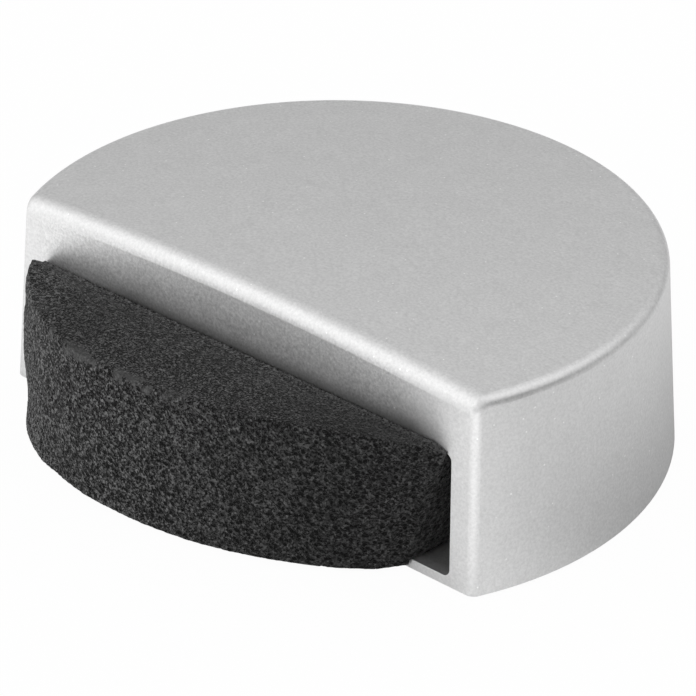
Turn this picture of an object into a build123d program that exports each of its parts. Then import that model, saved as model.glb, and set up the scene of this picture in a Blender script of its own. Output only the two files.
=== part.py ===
from build123d import *
import os
from math import cos, radians, sin, sqrt, tan

# Half moon door stop: a cast metal body, a foam buffer seated in a pocket in its flat front,
# and an adhesive pad let into its underside.
# Millimetres, +Z up. The origin lies on the floor, under the centre of the round back.
# The buffer faces -Y, and heights on the body are taken from its base.

# Cast body
body_diameter = 45.0  # round back, at the base
front_reach = 10.0  # centre to the flat front, at the base
rim_height = 13.4  # base to the rim of the top
crown_rise = 0.9  # rim to the middle of the slightly domed top
side_draft = 4.2  # degrees, round back
front_draft = 3.4  # degrees, flat front
front_edge_radius = 1.15  # along the top of the front
side_edge_radius = 0.7  # around the rim and down the two front corners

# Pocket in the front
pocket_depth = 4.0
pocket_height = 8.45
pocket_lip = 0.65  # metal under the pocket
pocket_end_wall = 1.8  # metal between the pocket and each front corner
pocket_corner_radius = 0.5
pocket_floor_radius = 0.4

# Foam buffer, seated towards the left of its pocket and swelling out ahead of it
buffer_swell_above = 1.1
buffer_swell_below = 0.45
buffer_left_gap = 0.3  # to the pocket's end, at the pocket's top
buffer_right_gap_high = 0.4  # the right end is cut aslant, so its gap is wider at the pocket's bottom
buffer_right_gap_low = 2.65
buffer_fit = 0.1  # clearance above, below and behind the part that is pressed in
buffer_face_gap = 0.1  # between the front and the foam that overhangs it
buffer_reach = 8.1  # ahead of the front, at the fullest point
buffer_crest = -3.9  # fullest point, from the middle of the front
buffer_left_reach = 1.0  # ahead of the front, before rounding
buffer_right_reach = 0.5
buffer_end_radius = 0.7

# Adhesive pad
base_pad_thickness = 1.0
base_recess_depth = 0.7
base_pad_inset = 2.5  # from the round edge of the base
base_pad_front_wall = 1.2  # metal between its recess and the pocket
base_pad_corner_radius = 2.0
base_pad_fit = 0.15

cut_overrun = 1.0  # how far a cutting shape runs past the face that it opens

# Derived sizes
base_radius = body_diameter / 2
stand_off = base_pad_thickness - base_recess_depth
side_slope = tan(radians(side_draft))
front_slope = tan(radians(front_draft))
pocket_top = pocket_lip + pocket_height
front_plane = Plane(
    origin=(0, -front_reach, stand_off),
    x_dir=(1, 0, 0),
    z_dir=(0, -cos(radians(front_draft)), sin(radians(front_draft))),
)


# Half the width of the front at a height above the base, to its sharp corner
def front_half_width(height):
    radius = base_radius - height * side_slope
    reach = front_reach - height * front_slope
    return sqrt(radius**2 - reach**2)


def pocket_half_width(height):
    return front_half_width(height) - pocket_end_wall


buffer_left = -pocket_half_width(pocket_top) + buffer_left_gap
buffer_back = -front_reach + pocket_depth - buffer_fit
head_plane = front_plane.offset(buffer_face_gap)


# Right end of the buffer at a height above the base
def buffer_right(height):
    low = pocket_half_width(pocket_lip) - buffer_right_gap_low
    high = pocket_half_width(pocket_top) - buffer_right_gap_high
    return low + (high - low) * (height - pocket_lip) / pocket_height


# Full round of the body: a drafted cone, cut off by a large sphere that leaves the top slightly domed
def round_blank():
    rim_radius = base_radius - rim_height * side_slope
    crown_radius = (rim_radius**2 + crown_rise**2) / (2 * crown_rise)
    cone_height = rim_height + crown_rise + cut_overrun
    cone_top_radius = base_radius - cone_height * side_slope
    cone = Cone(base_radius, cone_top_radius, cone_height, align=(Align.CENTER, Align.CENTER, Align.MIN))
    crown = Pos(0, 0, rim_height + crown_rise - crown_radius) * Rot(X=90) * Sphere(crown_radius)
    return Pos(0, 0, stand_off) * (Rot(Z=-90) * cone & crown)


# Tapered opening that the buffer is pressed into, with its end walls parallel to the body's sides
def pocket_cutter():
    low = pocket_half_width(pocket_lip)
    high = pocket_half_width(pocket_top)
    floor = Plane(origin=(0, -front_reach + pocket_depth, stand_off), x_dir=(1, 0, 0), z_dir=(0, -1, 0))
    with BuildPart() as cutter:
        with BuildSketch(floor) as mouth:
            with BuildLine():
                Line((-low, pocket_lip), (low, pocket_lip))
                Line((low, pocket_lip), (high, pocket_top))
                Line((high, pocket_top), (-high, pocket_top))
                Line((-high, pocket_top), (-low, pocket_lip))
            make_face()
            fillet(mouth.vertices(), pocket_corner_radius)
        extrude(amount=pocket_depth + cut_overrun)
        fillet(cutter.faces().sort_by(Axis.Y)[-1].edges(), pocket_floor_radius)
    return cutter.part


# D shape behind the pocket, drawn in from the edge of the base
def base_pad_outline(growth):
    radius = base_radius - base_pad_inset + growth
    front = -front_reach + pocket_depth + base_pad_front_wall + base_pad_fit - growth
    half_width = sqrt(radius**2 - front**2)
    with BuildSketch() as outline:
        with BuildLine():
            ThreePointArc((half_width, front), (0, radius), (-half_width, front))
            Line((-half_width, front), (half_width, front))
        make_face()
        fillet(outline.vertices(), base_pad_corner_radius + growth)
    return outline.sketch


def make_body():
    body = split(round_blank(), bisect_by=front_plane, keep=Keep.BOTTOM)
    front = body.faces().filter_by(GeomType.PLANE).sort_by(Axis.Y)[0]
    body = fillet(front.edges().sort_by(Axis.Z)[-1], front_edge_radius)
    side = body.faces().filter_by(GeomType.CONE)[0]
    body = fillet(side.edges().sort_by(Axis.Z)[1:], side_edge_radius)
    recess = extrude(Pos(0, 0, stand_off) * base_pad_outline(base_pad_fit), base_recess_depth)
    return body - pocket_cutter() - recess


# Plan of the buffer at a height above the base: a full, lopsided front of two arcs, and straight ends
def buffer_outline(height):
    front = -front_reach + height * front_slope
    right = buffer_right(height)
    left_front = (buffer_left, front - buffer_left_reach)
    right_front = (right, front - buffer_right_reach)
    crest = (buffer_crest, front - buffer_reach)
    with BuildSketch(Plane.XY.offset(stand_off + height)) as outline:
        with BuildLine():
            TangentArc(crest, left_front, tangent=(-1, 0))
            Polyline(left_front, (buffer_left, buffer_back), (right, buffer_back), right_front)
            TangentArc(crest, right_front, tangent=(1, 0))
        make_face()
        ends = outline.vertices().group_by(Axis.X)
        fillet([ends[0].sort_by(Axis.Y)[0], ends[-1].sort_by(Axis.Y)[0]], buffer_end_radius)
    return outline.sketch


# Part of the buffer that is pressed into the pocket
def buffer_tongue():
    low = pocket_lip + buffer_fit
    high = pocket_top - buffer_fit
    back = Plane(origin=(0, buffer_back, stand_off), x_dir=(1, 0, 0), z_dir=(0, -1, 0))
    with BuildSketch(back) as profile:
        with BuildLine():
            Polyline(
                (buffer_left, low),
                (buffer_right(low), low),
                (buffer_right(high), high),
                (buffer_left, high),
                close=True,
            )
        make_face()
        fillet(profile.vertices(), pocket_corner_radius)
    tongue = extrude(profile.sketch, pocket_depth + cut_overrun)
    tongue = split(tongue, bisect_by=head_plane, keep=Keep.BOTTOM)
    return chamfer(tongue.faces().sort_by(Axis.Y)[-1].edges(), pocket_floor_radius)


# Ahead of the pocket the buffer leans back as far as the front of the body does
def make_buffer():
    bottom = buffer_outline(pocket_lip - buffer_swell_below)
    top = buffer_outline(pocket_top + buffer_swell_above)
    head = split(loft([bottom, top], ruled=True), bisect_by=head_plane, keep=Keep.TOP)
    return head + buffer_tongue()


def make_base_pad():
    return extrude(base_pad_outline(0), base_pad_thickness)


os.makedirs("parts", exist_ok=True)
export_step(make_body(), "parts/body.step")
export_step(make_buffer(), "parts/buffer.step")
export_step(make_base_pad(), "parts/base_pad.step")
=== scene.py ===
import bmesh
import bpy
from math import cos, radians, sin, sqrt, tan
from mathutils import Matrix, Vector, noise


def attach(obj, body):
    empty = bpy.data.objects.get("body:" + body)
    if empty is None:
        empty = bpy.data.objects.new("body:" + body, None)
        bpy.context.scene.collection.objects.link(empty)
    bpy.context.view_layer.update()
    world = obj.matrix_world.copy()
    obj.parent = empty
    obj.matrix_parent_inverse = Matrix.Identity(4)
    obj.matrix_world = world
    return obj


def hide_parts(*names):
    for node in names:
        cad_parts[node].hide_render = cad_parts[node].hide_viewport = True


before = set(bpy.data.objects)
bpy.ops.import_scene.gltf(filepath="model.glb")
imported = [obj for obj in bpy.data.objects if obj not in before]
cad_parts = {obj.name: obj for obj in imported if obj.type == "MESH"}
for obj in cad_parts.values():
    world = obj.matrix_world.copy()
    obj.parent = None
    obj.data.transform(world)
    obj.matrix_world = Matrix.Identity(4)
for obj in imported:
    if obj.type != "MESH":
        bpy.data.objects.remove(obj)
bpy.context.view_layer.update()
mm = 0.001
half = 0.5
print("frame loaded:", ", ".join(sorted(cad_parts)))


class Flow:  # a node socket that takes part in plain arithmetic
    def __init__(self, tree, socket=None):
        self.tree = tree
        self.socket = socket

    def node(self, kind, settings={}, sockets={}, output=0):
        made = self.tree.nodes.new("ShaderNode" + kind)
        for name, value in settings.items():
            setattr(made, name, value)
        for name, value in sockets.items():
            if isinstance(value, Flow):
                self.tree.links.new(value.socket, made.inputs[name])
            else:
                made.inputs[name].default_value = value
        return Flow(self.tree, made.outputs[output])

    def maths(self, operation, first, second):
        return self.node("Math", {"operation": operation}, {0: first, 1: second})

    def __add__(self, other):
        return self.maths("ADD", self, other)

    def __radd__(self, other):
        return self.maths("ADD", other, self)

    def __sub__(self, other):
        return self.maths("SUBTRACT", self, other)

    def __rsub__(self, other):
        return self.maths("SUBTRACT", other, self)

    def __mul__(self, other):
        return self.maths("MULTIPLY", self, other)

    def __rmul__(self, other):
        return self.maths("MULTIPLY", other, self)

    def __truediv__(self, other):
        return self.maths("DIVIDE", self, other)

    def __rtruediv__(self, other):
        return self.maths("DIVIDE", other, self)

    def atLeast(self, least):
        return self.maths("MAXIMUM", self, least)

    def ease(self, low, high):  # 0 at low, 1 at high
        limits = {"Value": self, "From Min": low, "From Max": high}
        return self.node("MapRange", {"interpolation_type": "SMOOTHSTEP"}, limits)

    def within(self, ends):  # 1 between two ends, each of which is a pair to ease over
        first, last = ends
        return self.ease(*first) * self.ease(*last)

    def tint(self, dark, light):  # greys by this value
        factor, first, second, result = 0, 6, 7, 2  # sockets of a Mix node that mixes colours
        greys = {factor: self, first: (dark, dark, dark, 1), second: (light, light, light, 1)}
        return self.node("Mix", {"data_type": "RGBA", "clamp_factor": False}, greys, result)

    def axes(self):  # the parts of a vector
        parted = self.node("SeparateXYZ", {}, {0: self}).socket.node
        return [Flow(self.tree, part) for part in parted.outputs]

    def along(self, way):  # how far a vector goes in a direction
        return self.node("VectorMath", {"operation": "DOT_PRODUCT"}, {0: self, 1: way}, "Value")

    def pattern(self, kind, look, output=0):  # a texture at this place
        return self.node(kind, {}, {"Vector": self, **look}, output)


def newMaterial(name, fixed):
    material = bpy.data.materials.new(name)
    material.use_nodes = True
    shader = material.node_tree.nodes["Principled BSDF"]
    for socket, value in fixed.items():
        shader.inputs[socket].default_value = value
    return material, shader, Flow(material.node_tree)


def feed(shader, links):
    for socket, flow in links.items():
        flow.tree.links.new(flow.socket, shader.inputs[socket])


def weighed(weights, flows):  # sum of the flows that have a weight
    return sum(weight * flows[name] for name, weight in weights.items())


def between(pair, share):  # for numbers and for flows
    low, high = pair
    return low + (high - low) * share


def ease(low, high, value):  # 0 at low, 1 at high, level at both
    share = min(max((value - low) / (high - low), 0), 1)
    return share * share * (3 - 2 * share)


def newPiece(name, mesh, material):
    mesh.materials.append(material)
    piece = bpy.data.objects.new(name, mesh)
    bpy.context.scene.collection.objects.link(piece)
    return piece


def toMesh(bm, mesh):
    bm.to_mesh(mesh)
    bm.free()
    return mesh


# Satin plating of the casting. Scales are per metre, and a pair of places says where something fades in
plating = {
    "grain": {"Scale": 5200.0, "Detail": 3.0, "Roughness": 0.65},
    "peel": {"Scale": 1500.0, "Detail": 2.0},
    "mottle": {"Scale": 420.0, "Detail": 2.0},
    "specks": {"Scale": 1100.0},
    "speckSize": (0.09, 0.03),  # rim and core, as shares of a cell
    "shade": (0.60, 0.88),
    "toneBy": {"grain": 1.3, "mottle": 0.18, "speck": 0.9},
    "roughness": (0.41, 0.51),
    "roughBy": {"grain": 1.6, "mottle": 0.3},
    "speckGloss": 0.08,
    "reliefBy": {"grain": 0.7, "peel": 1.6, "speck": 0.6},
    "bump": 0.14,
    "bumpDepth": 0.02 * mm,
    "front": (-9.1 * mm, -9.3 * mm),
    "frontRoughness": 0.04,  # added on the flat front
    "frontGrain": 1.3,  # added above the buffer, between these ends and from this height
    "frontGrainEnds": ((-19 * mm, -16.5 * mm), (16 * mm, 12 * mm)),
    "frontGrainFrom": (9 * mm, 10 * mm),
    "paintedShade": 0.53,  # painted shade and reflection of the buffer on the front, just above it
    "paintedShadeEnds": ((-14 * mm, -9 * mm), (17.2 * mm, 15 * mm)),
    "paintedShadeFrom": (5 * mm, 7 * mm),
    "paintedShadeFade": (1.2 * mm, -0.1 * mm),  # heights over the buffer
    "bufferTop": 10.5 * mm,
    "bufferDip": 0.64 * mm,  # of its top, along the front
    "bufferDroop": 1.2 * mm,  # of its right end
    "bufferDroopAt": (12.5 * mm, 16.5 * mm),
}


def satinPlating(s):
    material, shader, flow = newMaterial("satin_plating", {"Metallic": 1.0})
    place = flow.node("TexCoord", output="Object")
    x, y, z = place.axes()
    grain, peel, mottle = (place.pattern("TexNoise", s[name]) - half for name in ("grain", "peel", "mottle"))
    speck = place.pattern("TexVoronoi", s["specks"]).ease(*s["speckSize"])
    flows = {"grain": grain, "peel": peel, "mottle": mottle, "speck": speck}
    front = y.ease(*s["front"])
    coarser = s["frontGrain"] * front * x.within(s["frontGrainEnds"]) * z.ease(*s["frontGrainFrom"])
    droop = s["bufferDroop"] * x.ease(*s["bufferDroopAt"])
    over = z - s["bufferTop"] + droop.atLeast(s["bufferDip"])
    # painted shade and reflection of the buffer, darkening the front just above it
    paintedShade = front * x.within(s["paintedShadeEnds"]) * z.ease(*s["paintedShadeFrom"]) * over.ease(*s["paintedShadeFade"])
    tone = half + weighed(s["toneBy"], flows) + grain * coarser
    shade = between(s["shade"], tone) * (1 - s["paintedShade"] * paintedShade)
    rough = between(s["roughness"], half + weighed(s["roughBy"], flows))
    rough = rough - s["speckGloss"] * speck + s["frontRoughness"] * front
    relief = weighed(s["reliefBy"], flows)
    bump = flow.node("Bump", {}, {"Strength": s["bump"], "Distance": s["bumpDepth"], "Height": relief})
    feed(shader, {"Base Color": shade.tint(0.0, 1.0), "Roughness": rough, "Normal": bump})
    return material


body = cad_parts["body"]
body.data.materials.clear()
body.data.materials.append(satinPlating(plating))
print("body plated")


# Foam buffer, worked in millimetres and brought to metres at the end
foam = {
    "left": -17.58,
    "right": 15.57,  # at the bottom
    "slant": 0.214,  # how the right end moves out with height
    "bottom": 0.5,
    "top": 10.5,
    "lean": 3.4,  # degrees, as the front that it overhangs
    "crest": (-3.9, -18.05),
    "leftRound": (16.74, 54.8),  # radius and turn of the curved front, either side of the crest
    "rightRound": (28.75, 42.6),
    "roundSteps": 40,
    "back": -10.09,  # of the part ahead of the front, at the bottom
    "tongue": (-10.4, -6.1, 1.05, 9.3),  # front, back, bottom and top of the part in the pocket
    "weld": 0.001,
    "corner": (0.7, 6),  # reach and segments of the rounding at either end of the curve
    "voxel": 0.14,
    "smooth": (3, 0.5),  # turns and strength
    "smoothFrom": 0.35,  # ahead of the back
    # How it settles. Pairs named At run forwards, Along from side to side, and Level by height, 0 to 1
    "upperFrom": 5.0,
    "lowerTo": 3.0,
    "aheadAt": (-9.9, -10.6),
    "dip": 0.64,  # top along the metal
    "dipReach": (1.3, 4.2),  # how far ahead of the metal it is made up, at the left end and elsewhere
    "dipAlong": (-17.0, -9.0),
    "dipFrom": -9.4,
    "dropAt": (-9.2, -9.6),
    "endDroop": 1.2,
    "endDroopAlong": (12.5, 16.5),
    "flank": (0.42, 0.37, 0.13),  # left end: swell, and what the foot and the shoulder draw in
    "flankAlong": (-12.0, -16.5),
    "tuckLevel": (0.5, 0.1),
    "shoulderLevels": ((0.68, 0.8), (0.92, 1.0)),
    "swellShares": (0.85, 0.5),  # to the left and forwards
    "heel": 0.36,  # swell of the foot, next to that end
    "heelAlong": ((-16.6, -13.2), (-8.0, -10.8)),
    "footPull": 0.15,
    "footPullAlong": (11.5, 14.0),
    "footDrop": 0.1,
    "footDropAt": (-10.1, -10.9),
    "footDropAlong": (-4.0, 4.0),
    "endRound": 0.5,
    "endRoundTop": 0.6,  # share of it that the top lacks
    "endRoundFrom": 13.5,
    "endRoundAt": (-7.6, -11.0),
    "metal": -10.15,  # nothing ahead of this is drawn back past it
    # Relief
    "rubReach": (0.9, 0.2),  # from the edge of the top
    "skinFacing": (0.55, 0.9),  # how far a face has to look up or down to be skin
    "pitSize": (0.42, 0.3),  # on the cut wall and on the skin, as the next two
    "pitDepth": (0.10, 0.04),
    "grainDepth": (0.09, 0.07),
    "pitReach": (0.2, 0.25),  # least, and what some have more
    "pitSeed": 7.3,
    "rubbedPits": 0.6,
    "grains": ((0.6, 0.34), (0.4, 0.17)),  # share and size
    "fullness": 0.06,  # brings the worked surface back out to the cut one
    "fullnessAt": (-10.4, -11.6),
}


def leaning(height, s):  # how far back the foam leans at a height
    return (height - s["bottom"]) * tan(radians(s["lean"]))


def roundCorners(bm, corners, reach, segments):
    bmesh.ops.bevel(
        bm, geom=corners, offset=reach, segments=segments, profile=0.5, material=-1, affect="VERTICES"
    )


def raiseFaces(bm, faces, by):
    raised = bmesh.ops.extrude_face_region(bm, geom=faces)["geom"]
    lifted = [v for v in raised if isinstance(v, bmesh.types.BMVert)]
    bmesh.ops.translate(bm, verts=lifted, vec=by)


def smoothVerts(bm, verts, strength):
    bmesh.ops.smooth_vert(bm, verts=verts, factor=strength, use_axis_x=True, use_axis_y=True, use_axis_z=True)


def toMetres(bm):
    bmesh.ops.scale(bm, vec=(mm, mm, mm), verts=bm.verts)
    for face in bm.faces:
        face.smooth = True


def foamBlank(s):
    bm = bmesh.new()
    crest = bm.verts.new((*s["crest"], s["bottom"]))
    ends = []
    for (radius, turn), way in ((s["leftRound"], -1), (s["rightRound"], 1)):
        centre = crest.co + Vector((0, radius, 0))
        angle = way * radians(turn)
        arc = bmesh.ops.spin(
            bm, geom=[crest], cent=centre, axis=(0, 0, 1), angle=angle, steps=s["roundSteps"]
        )
        ends.append(arc["geom_last"][0])
    for end, side in zip(ends, (s["left"], s["right"])):
        end.co.x = side
    backs = [bm.verts.new((end.co.x, s["back"], s["bottom"])) for end in ends]
    for first, second in zip([*ends, backs[0]], [*backs, backs[1]]):
        bm.edges.new((first, second))
    bmesh.ops.remove_doubles(bm, verts=bm.verts, dist=s["weld"])
    roundCorners(bm, ends, *s["corner"])
    plan = bmesh.ops.contextual_create(bm, geom=bm.edges)["faces"]
    raiseFaces(bm, plan, (0, leaning(s["top"], s), s["top"] - s["bottom"]))
    front, back, low, high = s["tongue"]
    size = Matrix.Diagonal((s["right"] - s["left"], back - front, high - low, 1))
    middle = Vector((s["left"] + s["right"], front + back, low + high)) / 2
    bmesh.ops.create_cube(bm, size=1, matrix=Matrix.Translation(middle) @ size)
    bmesh.ops.recalc_face_normals(bm, faces=bm.faces)
    return toMesh(bm, bpy.data.meshes.new("foam_blank"))


def remeshed(mesh, voxel):
    draft = bpy.data.objects.new("draft", mesh)
    bpy.context.scene.collection.objects.link(draft)
    remesh = draft.modifiers.new("remesh", "REMESH")
    remesh.mode = "VOXEL"
    remesh.voxel_size = voxel
    done = bpy.data.meshes.new_from_object(draft.evaluated_get(bpy.context.evaluated_depsgraph_get()))
    bpy.data.objects.remove(draft)
    return done


def settled(p, s):  # how the foam swells out of its pocket and sags at its ends
    x, y, z = p
    rise = z - s["bottom"]
    level = rise / (s["top"] - s["bottom"])
    upper = ease(s["upperFrom"], s["top"], z)
    lower = 1 - ease(s["bottom"], s["lowerTo"], z)
    ahead = ease(*s["aheadAt"], y)
    # top: a dip along the metal, and the droop of the right end
    reach = between(s["dipReach"], ease(*s["dipAlong"], x))
    near = 1 - ease(s["dipFrom"], s["dipFrom"] - reach, y)
    droop = s["endDroop"] * ease(*s["endDroopAlong"], x)
    drop = upper * max(near * s["dip"], droop) * ease(*s["dropAt"], y)
    # left end and the heel next to it
    full, tuck, shoulder = s["flank"]
    shoulders = sum(ease(*levels, level) for levels in s["shoulderLevels"])
    profile = full - tuck * ease(*s["tuckLevel"], level) - shoulder * shoulders
    heelLeft, heelRight = s["heelAlong"]
    heel = s["heel"] * lower * ease(*heelLeft, x) * ease(*heelRight, x) * ahead
    swell = profile * ease(*s["flankAlong"], x) * ahead + heel
    sideways, forwards = s["swellShares"]
    # foot and right end
    pull = s["footPull"] * lower * ease(*s["footPullAlong"], x) * ahead
    sag = s["footDrop"] * lower * ease(*s["footDropAt"], y) * ease(*s["footDropAlong"], x)
    corner = s["endRound"] * (1 - s["endRoundTop"] * upper) * ease(s["endRoundFrom"], s["right"], x)
    corner *= ease(*s["endRoundAt"], y) ** 2
    crest = s["crest"][0]
    stretch = max(x - crest, 0) / (s["right"] - crest) * s["slant"] * rise
    forward = min(y - forwards * swell + pull, max(y, s["metal"]))
    return Vector((x + stretch - corner - sideways * swell, forward, z - drop - sag))


def fromEdge(p, s):  # how far a point on the blank is from the edge between its top and its curved front
    crest, front = s["crest"]
    radius = s["leftRound"][0] if p.x < crest else s["rightRound"][0]
    curve = front + radius - sqrt(max(radius ** 2 - (p.x - crest) ** 2, 0))
    return s["top"] - p.z + max(p.y - curve - leaning(p.z, s), 0)


def pit(p, size, s):  # depth of an open cell, 0 to 1
    distances, centres = noise.voronoi(p / size)
    least, more = s["pitReach"]
    reach = least + more * (noise.cell(centres[0] * s["pitSeed"]) * half + half)
    return 1 - ease(0.0, reach, distances[0])


def foamBuffer(s):
    mesh = remeshed(foamBlank(s), s["voxel"])
    bm = bmesh.new()
    bm.from_mesh(mesh)
    clear = [v for v in bm.verts if v.co.y < s["back"] - s["smoothFrom"] + leaning(v.co.z, s)]
    turns, strength = s["smooth"]
    for _ in range(turns):  # only ahead of the metal, so the edge along it stays close to it
        smoothVerts(bm, clear, strength)
    skinLayer = bm.verts.layers.float.new("skin")
    rubLayer = bm.verts.layers.float.new("rub")
    for v in bm.verts:
        v[rubLayer] = ease(*s["rubReach"], fromEdge(v.co, s))
        v.co = settled(v.co, s)
    bm.normal_update()
    moves = []
    for v in bm.verts:
        skin = ease(*s["skinFacing"], abs(v.normal.z))
        v[skinLayer] = skin
        pits = pit(v.co, s["pitSize"][round(skin)], s) * (1 - s["rubbedPits"] * v[rubLayer])
        grain = half + half * sum(share * noise.noise(v.co / size) for share, size in s["grains"])
        sunk = between(s["pitDepth"], skin) * pits + between(s["grainDepth"], skin) * grain
        moves.append(v.normal * (s["fullness"] * ease(*s["fullnessAt"], v.co.y) - sunk))
    for v, move in zip(bm.verts, moves):
        v.co += move
    toMetres(bm)
    return toMesh(bm, mesh)


sponge = {
    "fixed": {"Specular IOR Level": 0.2, "Sheen Weight": 0.05, "Sheen Roughness": 0.5},
    "pores": {"Scale": 2350.0},  # per metre, as the other scales
    "poreSize": (0.43, 0.25),  # rim and bottom, as shares of a cell
    "skinPores": {"Scale": 5000.0},
    "skinPoreSize": (0.42, 0.16),
    "crumbs": {"Scale": 7200.0},
    "grain": {"Scale": 4600.0, "Detail": 2.0, "Roughness": 0.7},
    "fine": {"Scale": 9800.0, "Detail": 1.0},
    "patches": {"Scale": 850.0, "Detail": 2.0},
    "openAndShadedTo": (3 * mm, 14 * mm),  # cells look more open towards the right, with painted shade there and painted light towards the left
    "finerAndLitTo": (-8 * mm, -17 * mm),
    "leftContrastAndSheenTo": ((6 * mm, -4 * mm), (-8 * mm, -13 * mm)),  # two steps of more contrast, and of painted sheen, on the cut wall
    "wornEnds": ((-14 * mm, -9 * mm), (4 * mm, 0.0)),
    "wornPatches": (0.45, 0.57),
    "wornPores": 0.8,  # shares that rubbing takes away
    "wornSpeckle": 0.7,
    "skinPoreShow": (0.5, 0.8),  # on the cut wall and on the skin, as the next three
    "grainShow": (2.6, 2.0),
    "fineShow": (2.2, 5.0),
    "crumbShow": (1.3, 1.7),
    "crumbMean": 0.25,
    "fineLoss": 1.2,
    "contrastBy": {"larger": -0.4, "leftward": 0.65, "skin": -0.22},
    "tone": 0.54,
    "toneBy": {"larger": -0.2, "leftward": 0.12, "skin": -0.1, "worn": 0.26, "patch": 0.3},
    "poreDark": 0.58,
    "poreDarkBy": {"larger": 0.15, "leftward": 0.45},
    "paintedLight": (0.22, 0.5),  # painted light along the metal, against the shade where the two meet: on the skin, and on the very edge
    "paintedLightAt": ((-12.2 * mm, -10.2 * mm), (-10.15 * mm, -9.6 * mm)),
    "paintedLightFrom": (8 * mm, 9 * mm),
    "lightest": 2.4,
    "shade": (0.0, 0.066),
    "roughness": (0.95, 0.80),  # as cut, and worn
    "reliefBy": {"grain": 0.5, "fine": 0.3, "pore": -1.0},
    "bump": 1.0,
    "bumpDepth": 0.12 * mm,
}


def spongeRubber(s):
    material, shader, flow = newMaterial("sponge_rubber", s["fixed"])
    place = flow.node("TexCoord", output="Object")
    skin, rub = (flow.node("Attribute", {"attribute_name": name}, output="Fac") for name in ("skin", "rub"))
    wall = 1 - skin
    x, y, z = place.axes()
    grain, fine, patch = (place.pattern("TexNoise", s[name]) - half for name in ("grain", "fine", "patches"))
    coarse = place.pattern("TexVoronoi", s["pores"]).ease(*s["poreSize"])
    small = place.pattern("TexVoronoi", s["skinPores"]).ease(*s["skinPoreSize"])
    crumb = place.pattern("TexVoronoi", s["crumbs"], "Color").axes()[0]
    # cell size, with painted shade towards the right end and painted light towards the left end
    larger = x.ease(*s["openAndShadedTo"]) - x.ease(*s["finerAndLitTo"])
    # more contrast on the left of the cut wall, and painted sheen there
    leftward = sum(x.ease(*step) for step in s["leftContrastAndSheenTo"]) * wall
    worn = rub * (patch + half).ease(*s["wornPatches"]) * x.within(s["wornEnds"])
    shares = {"larger": larger, "leftward": leftward, "skin": skin, "worn": worn, "patch": patch}
    pore = (coarse * wall + small * between(s["skinPoreShow"], skin)) * (1 - s["wornPores"] * worn)
    speckle = grain * between(s["grainShow"], skin)
    speckle = speckle + fine * (between(s["fineShow"], skin) - s["fineLoss"] * larger * wall)
    speckle = speckle + (crumb * crumb * crumb - s["crumbMean"]) * between(s["crumbShow"], skin)
    speckle = speckle * (1 - s["wornSpeckle"] * worn) * (1 + weighed(s["contrastBy"], shares))
    # painted light on the foam along the metal
    skinPaintedLight, edgePaintedLight = (share * y.ease(*at) for share, at in zip(s["paintedLight"], s["paintedLightAt"]))
    paintedLight = skinPaintedLight * skin + edgePaintedLight * z.ease(*s["paintedLightFrom"])
    sunk = pore * (s["poreDark"] + weighed(s["poreDarkBy"], shares))
    tone = s["tone"] + weighed(s["toneBy"], shares) - sunk + speckle + paintedLight
    shade = flow.node("Clamp", {}, {"Value": tone, "Max": s["lightest"]}).tint(*s["shade"])
    relief = weighed(s["reliefBy"], {"grain": grain, "fine": fine, "pore": pore})
    bump = flow.node("Bump", {}, {"Strength": s["bump"], "Distance": s["bumpDepth"], "Height": relief})
    feed(shader, {"Base Color": shade, "Roughness": between(s["roughness"], worn), "Normal": bump})
    return material


buffer = newPiece("foam_buffer", foamBuffer(foam), spongeRubber(sponge))
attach(buffer, "root")
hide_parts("buffer")
print("buffer cut:", len(buffer.data.polygons), "faces")


# Adhesive pad under the casting, in millimetres as well
tape = {
    "radius": 20.0,
    "segments": 128,
    "front": -4.65,
    "corner": (2.0, 8),  # reach and segments
    "cornerClear": 2.4,  # the outline has no other point this near to a corner, which leaves room to round it
    "thickness": 0.99,
    "voxel": 0.25,
    "smooth": 0.5,
    "edgeFacing": (0.6, 0.95),
    "waver": 0.04,
    "waverSize": 0.8,
}


def tapePad(s):
    bm = bmesh.new()
    bmesh.ops.create_circle(bm, cap_ends=True, segments=s["segments"], radius=s["radius"])
    geom = bm.verts[:] + bm.edges[:] + bm.faces[:]
    start = (0, s["front"], 0)
    bmesh.ops.bisect_plane(bm, geom=geom, plane_co=start, plane_no=(0, -1, 0), clear_outer=True)
    corners = sorted(bm.verts, key=lambda v: v.co.y)[:2]
    close = [v for v in bm.verts if 0 < min((v.co - c.co).length for c in corners) < s["cornerClear"]]
    bmesh.ops.dissolve_verts(bm, verts=close)
    roundCorners(bm, corners, *s["corner"])
    raiseFaces(bm, bm.faces[:], (0, 0, s["thickness"]))
    bmesh.ops.recalc_face_normals(bm, faces=bm.faces)
    mesh = remeshed(toMesh(bm, bpy.data.meshes.new("tape_blank")), s["voxel"])
    bm = bmesh.new()
    bm.from_mesh(mesh)
    smoothVerts(bm, bm.verts, s["smooth"])
    for v in bm.verts:
        edge = 1 - ease(*s["edgeFacing"], abs(v.normal.z))
        v.co -= v.normal * s["waver"] * edge * (half + half * noise.noise(v.co / s["waverSize"]))
    toMetres(bm)
    return toMesh(bm, mesh)


tapeFinish = {
    "fixed": {"Specular IOR Level": 0.4},
    "cells": {"Scale": 5200.0},
    "cellSize": (0.45, 0.15),
    "drift": {"Scale": 260.0, "Detail": 3.0},
    "toneBy": {"drift": 0.8, "cells": -0.35},
    "shade": (0.035, 0.16),
    "roughness": (0.5, 0.8),
    "reliefBy": {"drift": 0.3, "cells": -1.0},
    "bump": 0.4,
    "bumpDepth": 0.04 * mm,
}


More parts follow.
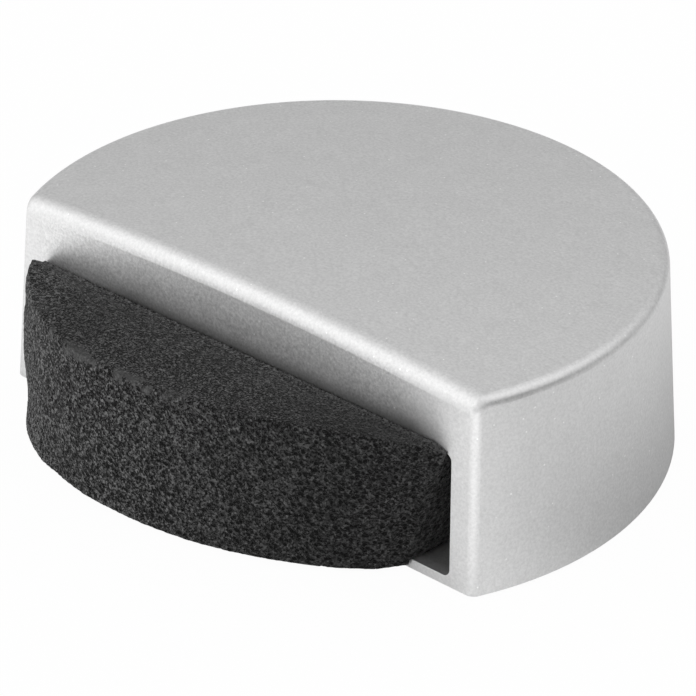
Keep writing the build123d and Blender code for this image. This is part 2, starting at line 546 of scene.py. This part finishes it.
def foamTape(s):
    material, shader, flow = newMaterial("foam_tape", s["fixed"])
    place = flow.node("TexCoord", output="Object")
    cells = place.pattern("TexVoronoi", s["cells"]).ease(*s["cellSize"])
    drift = place.pattern("TexNoise", s["drift"])
    flows = {"cells": cells, "drift": drift - half}
    tone = half + weighed(s["toneBy"], flows)
    relief = weighed(s["reliefBy"], flows)
    bump = flow.node("Bump", {}, {"Strength": s["bump"], "Distance": s["bumpDepth"], "Height": relief})
    rough = between(s["roughness"], drift)
    feed(shader, {"Base Color": tone.tint(*s["shade"]), "Roughness": rough, "Normal": bump})
    return material


basePad = newPiece("adhesive_pad", tapePad(tape), foamTape(tapeFinish))
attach(basePad, "root")
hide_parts("base_pad")
print("pad cut:", len(basePad.data.polygons), "faces")


# Studio: a lit floor, and a white sweep over it that only the camera sees
studio = {
    "floor": 0.85,
    "floorRadius": 3.0,
    "floorSegments": 64,
    "farPaintedShade": (0.8, (0.94, 0.2, 0.0), (80 * mm, 150 * mm)),  # painted shade on the floor far off: how much darker, which way and where
    "behind": (0.3, (0.6, 0.8, 0.0), (6 * mm, 18 * mm)),  # the same for a painted shadow of the stop on the floor behind it
    "behindRing": (42 * mm, 24 * mm),
    "outerPaintedLight": 0.1,  # painted light on the floor, away from the stop
    "outerPaintedLightRing": (36 * mm, 44 * mm),
    "table": 0.305,  # light that comes up through the floor, in front of the stop
    "tableFront": (-0.35, -0.94, 0.0),
    "tableFade": (-18 * mm, 12 * mm),
    "corner": (19.6 * mm, -9.7 * mm, 0.0),  # near corner of the stop, where a wedge of brighter light from the floor starts
    "wedge": 1.0,
    "wedgeWays": ((0.55, -0.835, 0.0), (0.835, 0.55, 0.0)),  # along it and across it
    "wedgeWidth": 0.7,  # half of it, per length
    "wedgeStart": (1 * mm, 12 * mm),
    "shaded": 0.7,  # less light close to the front
    "shadedAhead": (13 * mm, 10.2 * mm),
    "shadedRight": (20 * mm, 17.5 * mm),
    "dim": (10 * mm, -19 * mm, 0.0),  # a patch of less light from the floor, ahead of the right end of the buffer
    "dimBy": 0.45,
    "dimSize": (10 * mm, 3 * mm),
    "sweep": 0.97,  # share of its own light, which keeps the shadow faint
    "sweepRadius": 2.9,
    "sweepSegments": (64, 32),
    "sweepLift": 0.02 * mm,
    "sky": (0.48, 0.345),  # at the horizon, and added overhead
    "soft": [  # strength, direction, and how wide it is at its edge and core, as cosines
        (0.38, (-0.20, -0.80, 0.57), 0.6, 0.97),
        (0.40, (-0.79, -0.55, 0.27), 0.5, 0.95),
        (-0.06, (-0.60, 0.70, 0.38), 0.5, 0.95),
        (0.4, (0.40, 0.33, 0.85), 0.75, 0.97),
        (-0.40, (0.97, 0.10, 0.16), 0.88, 0.98),
    ],
    "key": 0.4,
    "keyFrom": (-0.82, -0.48, 0.32),
    "keyAway": 1.2,
    "keySize": 0.9,
}


def floorDisc(s):
    bm = bmesh.new()
    bmesh.ops.create_circle(bm, cap_ends=True, segments=s["floorSegments"], radius=s["floorRadius"])
    mesh = toMesh(bm, bpy.data.meshes.new("floor"))
    material, shader, flow = newMaterial("floor", {"Specular IOR Level": 0.0, "Emission Strength": 1.0})
    place = flow.node("TexCoord", output="Object")
    x, y = place.axes()[:2]
    around = flow.node("VectorMath", {"operation": "LENGTH"}, {0: place}, "Value")
    # how pale the floor is, with painted shade, shadow and light in it
    # painted shade on the floor far off to the right
    farShadeLoss, farShadeWay, farShadeFade = s["farPaintedShade"]
    farShade = place.along(farShadeWay).ease(*farShadeFade)
    # painted shadow of the stop on the floor behind it
    behindLoss, behindWay, behindFade = s["behind"]
    behind = around.ease(*s["behindRing"]) * place.along(behindWay).ease(*behindFade)
    grey = s["floor"] * (1 - farShadeLoss * farShade) * (1 - behindLoss * behind)
    # painted light on the floor away from the stop
    grey = grey + s["outerPaintedLight"] * around.ease(*s["outerPaintedLightRing"]) * (1 - farShade)
    # the light in it
    length, offside = (place.along(way) - Vector(s["corner"]).dot(Vector(way)) for way in s["wedgeWays"])
    share = offside / length
    wedge = (share * share).ease(s["wedgeWidth"] ** 2, 0.0) * length.ease(*s["wedgeStart"])
    shaded = (0 - y).ease(*s["shadedAhead"]) * x.ease(*s["shadedRight"])
    fromDim = flow.node("VectorMath", {"operation": "DISTANCE"}, {0: place, 1: s["dim"]}, "Value")
    lit = s["table"] * place.along(s["tableFront"]).ease(*s["tableFade"]) * (1 + s["wedge"] * wedge)
    lit = lit * (1 - s["shaded"] * shaded) * (1 - s["dimBy"] * fromDim.ease(*s["dimSize"]))
    feed(shader, {"Base Color": grey.tint(0.0, 1.0), "Emission Color": lit.tint(0.0, 1.0)})
    floor = newPiece("floor", mesh, material)
    floor.visible_camera = False
    return floor


def whiteSweep(s):
    bm = bmesh.new()
    around, upwards = s["sweepSegments"]
    bmesh.ops.create_uvsphere(bm, u_segments=around, v_segments=upwards, radius=s["sweepRadius"])
    geom = bm.verts[:] + bm.edges[:] + bm.faces[:]
    start = (0, 0, s["sweepLift"])
    cut = bmesh.ops.bisect_plane(
        bm, geom=geom, dist=1e-6, plane_co=start, plane_no=(0, 0, -1), clear_outer=True
    )
    bmesh.ops.contextual_create(bm, geom=[e for e in cut["geom_cut"] if isinstance(e, bmesh.types.BMEdge)])
    bmesh.ops.reverse_faces(bm, faces=bm.faces)
    mesh = toMesh(bm, bpy.data.meshes.new("sweep"))
    grey = s["floor"] * (1 - s["sweep"])
    fixed = {
        "Base Color": (grey, grey, grey, 1),
        "Specular IOR Level": 0.0,
        "Emission Color": (1, 1, 1, 1),
        "Emission Strength": s["sweep"],
    }
    sweep = newPiece("sweep", mesh, newMaterial("sweep", fixed)[0])
    for ray in ("diffuse", "glossy", "transmission", "shadow"):
        setattr(sweep, "visible_" + ray, False)
    return sweep


def skyLight(s):
    world = bpy.data.worlds.new("studio")
    world.use_nodes = True
    bpy.context.scene.world = world
    flow = Flow(world.node_tree)
    way = flow.node("TexCoord", output="Generated")  # in a world, the direction
    low, rise = s["sky"]
    light = low + rise * way.axes()[2].ease(0.0, 1.0)
    for strength, aim, edge, core in s["soft"]:
        light = light + strength * way.along(Vector(aim).normalized()).ease(edge, core)
    background = world.node_tree.nodes["Background"]
    background.inputs["Color"].default_value = (1, 1, 1, 1)
    feed(background, {"Strength": light})


def softbox(name, power, size, towards, away):
    lamp = bpy.data.lights.new(name, "AREA")
    lamp.energy = power
    lamp.size = size
    light = bpy.data.objects.new(name, lamp)
    bpy.context.scene.collection.objects.link(light)
    aim = Vector(towards).normalized()
    light.location = aim * away
    light.rotation_mode = "QUATERNION"
    light.rotation_quaternion = aim.to_track_quat("Z", "Y")


floorDisc(studio)
whiteSweep(studio)
skyLight(studio)
softbox("key", studio["key"], studio["keySize"], studio["keyFrom"], studio["keyAway"])
bpy.context.scene.view_settings.view_transform = "Standard"
print("studio lit")


# Camera of the photo
shot = {
    "azimuth": 41.657,
    "elevation": 30.164,
    "roll": 0.23,
    "distance": 225.793 * mm,
    "focal": 3438.325,  # pixels
    "frame": 696,
    "sensor": 36,
    "target": 7.3 * mm,
    "offset": (0.766 * mm, -1.21 * mm),
    "clip": (0.01, 20),
}


def placeCamera(s):
    around, above, roll = (radians(s[name]) for name in ("azimuth", "elevation", "roll"))
    back = Vector((sin(around) * cos(above), -cos(around) * cos(above), sin(above)))
    right = Vector((cos(around), sin(around), 0))
    up = back.cross(right)
    across, upwards = s["offset"]
    eye = Vector((0, 0, s["target"])) + right * across + up * upwards + back * s["distance"]
    lens = bpy.data.cameras.new("camera")
    lens.sensor_width = s["sensor"]
    lens.lens = s["focal"] * s["sensor"] / s["frame"]
    lens.clip_start, lens.clip_end = s["clip"]
    camera = bpy.data.objects.new("camera", lens)
    bpy.context.scene.collection.objects.link(camera)
    turned = (right * cos(roll) + up * sin(roll), up * cos(roll) - right * sin(roll), back)
    camera.matrix_world = Matrix.Translation(eye) @ Matrix(turned).transposed().to_4x4()
    bpy.context.scene.camera = camera


placeCamera(shot)
print("camera placed")
